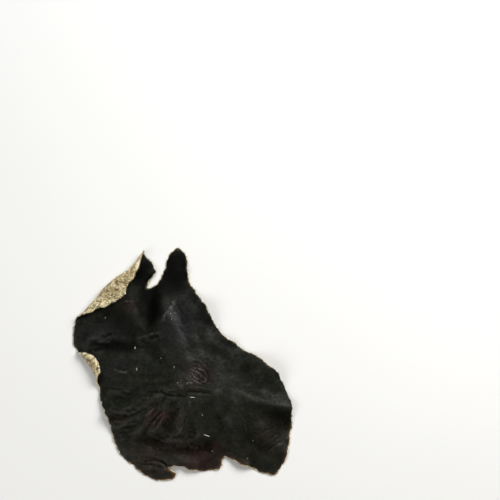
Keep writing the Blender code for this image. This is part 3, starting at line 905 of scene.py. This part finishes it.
def growFringe(roots, normals, kind, rng):
    # short hairs that stand out from the rim
    count, steps = len(roots), kind["points"]
    along = np.linspace(0.0, 1.0, steps)
    heads = normals + rng.normal(0.0, 0.45, (count, 3))
    heads /= np.linalg.norm(heads, axis=1)[:, None]
    bends = rng.normal(0.0, 0.5, (count, 3))
    lengths = rng.uniform(*kind["length"], count)[:, None, None]
    reach = heads[:, None] * along[None, :, None] + bends[:, None] * along[None, :, None] ** 2 * 0.5
    paths = roots[:, None] + lengths * reach
    ups = np.repeat(np.cross(heads, bends)[:, None], steps, axis=1)
    ups /= np.maximum(np.linalg.norm(ups, axis=2), 1e-9)[:, :, None]
    radii = rng.uniform(*kind["radius"], count)[:, None] * (1.0 - 0.75 * along[None])
    return paths, ups, radii


def tuftMesh(name, kind, paths, ups, radii, tones):
    # each tuft is a closed tube that ends in two points
    count, steps, _ = paths.shape
    sides = kind["sides"]
    ahead = np.gradient(paths, axis=1)
    ahead /= np.maximum(np.linalg.norm(ahead, axis=2), 1e-9)[:, :, None]
    side = np.cross(ups, ahead)
    side /= np.maximum(np.linalg.norm(side, axis=2), 1e-9)[:, :, None]
    inner = slice(1, steps - 1)
    rings = []
    for turn in range(sides):
        angle = math.tau * turn / sides
        out = side[:, inner] * math.cos(angle) + ups[:, inner] * (0.8 * math.sin(angle))
        rings.append(paths[:, inner] + out * radii[:, inner, None])
    rings = np.stack(rings, axis=2).reshape(count, -1, 3)
    points = np.concatenate([rings, paths[:, :1], paths[:, -1:]], axis=1)
    points[:, :, 2] = np.maximum(points[:, :, 2], 0.01)
    perTuft = points.shape[1]
    faces = []
    last = sides * (steps - 3)
    for turn in range(sides):
        other = (turn + 1) % sides
        faces.append((perTuft - 2, other, turn))
        faces.append((perTuft - 1, last + turn, last + other))
        for low in range(0, last, sides):
            high = low + sides
            faces.append((low + turn, low + other, high + other, high + turn))
    everyFace = [tuple(v + perTuft * i for v in face) for i in range(count) for face in faces]
    mesh = bpy.data.meshes.new(name)
    mesh.from_pydata((points.reshape(-1, 3) * mm).tolist(), [], everyFace)
    mesh.shade_smooth()
    piece = bpy.data.objects.new(name, mesh)
    scene.collection.objects.link(piece)
    tones = np.clip(tones, 0.0, 1.0)
    tones = np.concatenate([np.repeat(tones[:, inner], sides, axis=1), tones[:, :1], tones[:, -1:]], axis=1)
    writeAttribute(piece, "tone", tones.ravel())
    amber = amberShare(points.reshape(-1, 3) - dimple)
    writeAttribute(piece, "amber", amber if kind["side"] == "rim" else 0.0 * amber)
    return piece


def tuftFinish():
    finish = Finish("felt tufts", Specular_IOR_Level=0.2, Sheen_Weight=0.2, Sheen_Roughness=0.5)
    tone = finish.attribute("tone") + 0.25 * finish.grain(0.5, 2.0) - 0.125
    stops = [
        (0.0, (0.050, 0.029, 0.010)),
        (0.22, (0.20, 0.125, 0.042)),
        (0.45, (0.43, 0.335, 0.155)),
        (0.70, (0.72, 0.62, 0.36)),
        (1.0, (0.92, 0.85, 0.64)),
    ]
    colour = finish.node("ValToRGB", {"stops": stops}, {"Fac": tone})
    # orange fringe along the lowest rim, partly painted light shining through it
    colour = finish.mix(finish.attribute("amber") * 0.8, colour, (0.22, 0.095, 0.026))
    finish.set(Base_Color=colour, Roughness=0.85)
    finish.set(Normal=finish.bump(finish.grain(0.12, 2.0), 0.05))
    return finish.material


def coverWithTufts(sheetPiece):
    rng = np.random.default_rng(feltSeed)
    faces = feltFaces(sheetPiece)
    felt, rim = faces["felt"], faces["rim"]
    finish = tuftFinish()
    seen = smoothStep(-0.75, -0.25, felt["normals"][:, 2])
    shares = {"seen": seen, "under": 1.0 - seen, "edge": seen * smoothStep(1.1, 0.5, felt["rimGap"])}
    made = []
    for name, kind in tufts.items():
        count = kind["count"]
        if kind["side"] == "rim":
            chosen = rng.choice(len(rim["areas"]), count, p=rim["areas"] / rim["areas"].sum())
            roots = rim["middles"][chosen]
            paths, ups, radii = growFringe(roots, rim["normals"][chosen], kind, rng)
            clumps = noiseAt(roots, 1.6, 95.0)
            lift = (0.7 + 0.4 * clumps) * paleShare(roots - dimple) + 0.15 * clumps
            curl = np.zeros((count, kind["points"]))
        else:
            chance = felt["areas"] * (1.0 - felt["stub"]) * shares[kind["side"]]
            if kind["points"] > 5:
                chance *= 0.15 + felt["curls"]
            chosen = rng.choice(len(chance), count, p=chance / chance.sum())
            roots = felt["middles"][chosen]
            swirl = noiseAt(roots, 4.0, 50.0) * 7.0 + rng.normal(0.0, 0.9, count)
            heads = np.column_stack([np.cos(swirl), np.sin(swirl), rng.normal(0.0, 0.4, count)])
            paths, ups, radii, curl = growTufts(roots, heads, felt, kind, rng)
            lift = 0.16 * noiseAt(roots, 2.2, 90.0) + 0.10 * np.exp(-felt["rimGap"][chosen] / 1.1)
        tones = kind["tone"] + lift + kind["uneven"] * rng.normal(size=count)
        # tufts lying on the raised curls are made lighter: partly painted light on the curls, partly the
        # felt's own paler tone
        piece = tuftMesh(name, kind, paths, ups, radii, tones[:, None] + 0.45 * curl)
        piece.data.materials.append(finish)
        print(name, len(piece.data.polygons), "faces")
        made.append(piece)
    return made


# pale flecks of lint and grit on the upper face: (x, y, heading, length, width)

flecks = {
    "rise": 0.12,
    "places": [
        (4.1, -21.9, -27.0, 2.6, 0.34),
        (-1.6, -7.7, -4.0, 1.9, 0.24),
        (-24.4, 12.5, 80.0, 0.95, 0.50),
        (-23.4, 3.8, 85.0, 1.0, 0.40),
        (-36.4, 24.5, 60.0, 0.6, 0.34),
        (-14.1, 7.8, 20.0, 0.7, 0.26),
        (-8.8, 4.1, 75.0, 0.8, 0.26),
        (-7.3, -2.1, 10.0, 0.6, 0.26),
        (2.2, -14.3, 80.0, 0.8, 0.26),
        (-10.5, 25.2, 60.0, 0.6, 0.24),
        (-10.2, 23.0, 80.0, 0.55, 0.24),
        (6.0, -27.3, 30.0, 0.5, 0.28),
        (21.4, -23.6, 30.0, 0.5, 0.24),
        (19.3, -30.1, 0.0, 0.5, 0.26),
    ],
}


def fleckMesh(sheetPiece, settings):
    points = pointsOf(sheetPiece)
    corners = np.empty(len(sheetPiece.data.loops), np.int32)
    sheetPiece.data.loops.foreach_get("vertex_index", corners)
    tree = BVHTree.FromPolygons(points.tolist(), corners.reshape(-1, 4).tolist())
    made = []
    for i, (x, y, heading, length, width) in enumerate(settings["places"]):
        above = Vector((x + dimple[0], y + dimple[1], 50.0))
        hit, up, _, _ = tree.ray_cast(above, Vector((0.0, 0.0, -1.0)))
        bpy.ops.mesh.primitive_ico_sphere_add(subdivisions=3, radius=0.5)
        grit = bpy.context.active_object
        shape = pointsOf(grit) * mm
        bend = shape[:, 0] ** 2 * 0.5
        lump = 1.0 + 0.5 * noiseAt(shape + i * 3.7, 0.42) + 0.3 * noiseAt(shape + i * 1.9, 0.2)
        shape *= np.array([length, width, settings["rise"]]) * lump[:, None]
        shape[:, 1] += bend * width
        along = Vector((math.cos(math.radians(heading)), math.sin(math.radians(heading)), 0.0))
        along = (along - up * along.dot(up)).normalized()
        frameAxes = np.array([along, up.cross(along), up])
        placed = shape @ frameAxes + np.array(hit + up * settings["rise"] * 0.35)
        movePoints(grit, placed)
        bright = min(1.0, max(0.0, length - 0.7))
        writeAttribute(grit, "bright", np.full(len(placed), bright))
        made.append(grit)
    bpy.ops.object.select_all(action="DESELECT")
    for grit in made:
        grit.select_set(True)
    bpy.context.view_layer.objects.active = made[0]
    bpy.ops.object.join()
    piece = bpy.context.active_object
    piece.name = "pale_flecks"
    piece.data.shade_smooth()
    finish = Finish("pale grit", Specular_IOR_Level=0.4)
    tone = finish.between(finish.grain(0.3, 2.0), 0.3, 0.7)
    dull = finish.mix(tone, (0.14, 0.13, 0.105), (0.36, 0.35, 0.31))
    white = finish.mix(tone, (0.42, 0.40, 0.34), (0.72, 0.70, 0.64))
    finish.set(Base_Color=finish.mix(finish.attribute("bright"), dull, white), Roughness=0.6)
    piece.data.materials.append(finish.material)
    print("flecks placed:", len(made))
    return piece


# table and light

lighting = {
    "world": (0.80, 0.80, 0.81, 0.16),
    "areas": [
        ("window", (330.0, 300.0, 400.0), 400.0, 3.9, (1.0, 0.985, 0.96)),
        ("sky", (-60.0, 420.0, 300.0), 300.0, 0.5, (0.86, 0.92, 1.0)),
        ("filling", (-320.0, -220.0, 420.0), 420.0, 1.3, (1.0, 0.99, 0.97)),
    ],
}


def setTable():
    bpy.ops.mesh.primitive_circle_add(vertices=96, radius=4.0, fill_type="NGON")
    table = bpy.context.active_object
    table.name = "table_top"
    finish = Finish("pale table")
    tone = finish.grain(60.0, 2.0)
    finish.set(Base_Color=finish.mix(tone, (0.80, 0.80, 0.785), (0.82, 0.82, 0.808)), Roughness=0.55)
    finish.set(Specular_IOR_Level=0.2)
    table.data.materials.append(finish.material)


def setLights(settings):
    world = bpy.data.worlds.new("studio")
    world.use_nodes = True
    background = world.node_tree.nodes["Background"]
    background.inputs["Color"].default_value = (*settings["world"][:3], 1.0)
    background.inputs["Strength"].default_value = settings["world"][3]
    scene.world = world
    for name, place, size, power, colour in settings["areas"]:
        data = bpy.data.lights.new(name, "AREA")
        data.shape = "DISK"
        data.size = size * mm
        data.energy = power
        data.color = colour
        lamp = bpy.data.objects.new(name, data)
        lamp.location = Vector(place) * mm
        lamp.rotation_euler = (-lamp.location).to_track_quat("-Z", "Y").to_euler()
        scene.collection.objects.link(lamp)


setCamera(cameraView)
setLights(lighting)
setTable()
earSheet = copySheet(sheet)
markSides(earSheet, sheet)
subdivide(earSheet, sheet["levels"])
easePleats(earSheet)
tearRim(earSheet)
roughenSheet(earSheet, relief)
paintTintsAndShade(earSheet)
paintSheet(earSheet)
feltPieces = coverWithTufts(earSheet)
fleckPiece = fleckMesh(earSheet, flecks)

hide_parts("wood_ear")
for piece in [earSheet, *feltPieces, fleckPiece]:
    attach(piece, "root")
